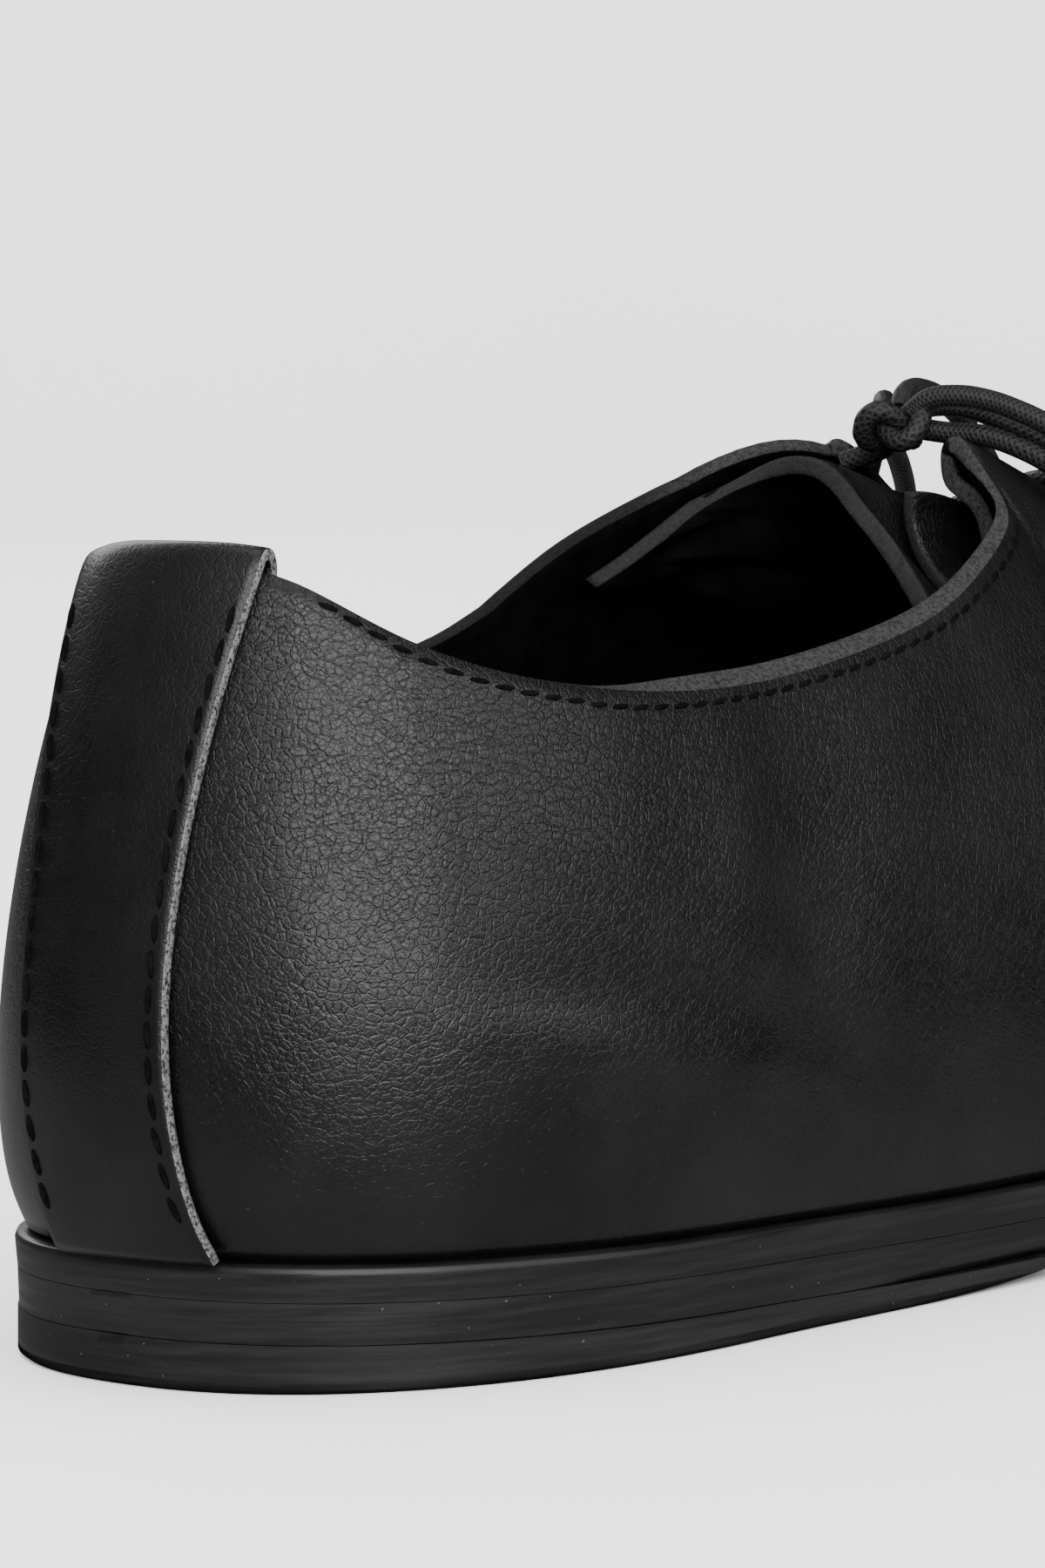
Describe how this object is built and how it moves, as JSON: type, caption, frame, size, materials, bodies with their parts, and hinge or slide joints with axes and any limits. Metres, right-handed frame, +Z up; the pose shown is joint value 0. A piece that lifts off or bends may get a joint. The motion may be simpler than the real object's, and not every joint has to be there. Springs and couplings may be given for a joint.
{
  "type": "derby shoe",
  "caption": "Low derby shoe for the right foot: unlined black upper with facings folded inward over a tongue, broad strip over the back seam, flush low sole and heel.",
  "frame": {"origin": "on the floor under the middle of the heel", "axes": "+X from the heel towards the toe, +Y towards the inner side of the foot, +Z up"},
  "size_m": [0.2904, 0.1011, 0.0837],
  "materials": {
    "blackened sole leather": "dull blackened edge, smooth underside",
    "black heel rubber": "matt",
    "black insole leather": "matt, worn smooth",
    "black leather": "waxed, finely grained, soft gloss",
    "black waxed cotton": "waxed, tightly woven round cord"
  },
  "bodies": {
    "root": {"midsole": "blackened sole leather", "outsole": "blackened sole leather", "heel": "black heel rubber", "insole": "black insole leather", "upper": "black leather", "backstay": "black leather", "tongue": "black leather", "gusset": "black leather", "lace_crossing_1": "black waxed cotton", "lace_crossing_2": "black waxed cotton", "lace_crossing_3": "black waxed cotton", "lace_bar": "black waxed cotton", "lace_knot": "black waxed cotton", "lace_loop_lateral": "black waxed cotton", "lace_loop_medial": "black waxed cotton", "lace_end_lateral": "black waxed cotton", "lace_end_medial": "black waxed cotton", "lace_strand_medial": "black waxed cotton"}
  },
  "joints": []
}
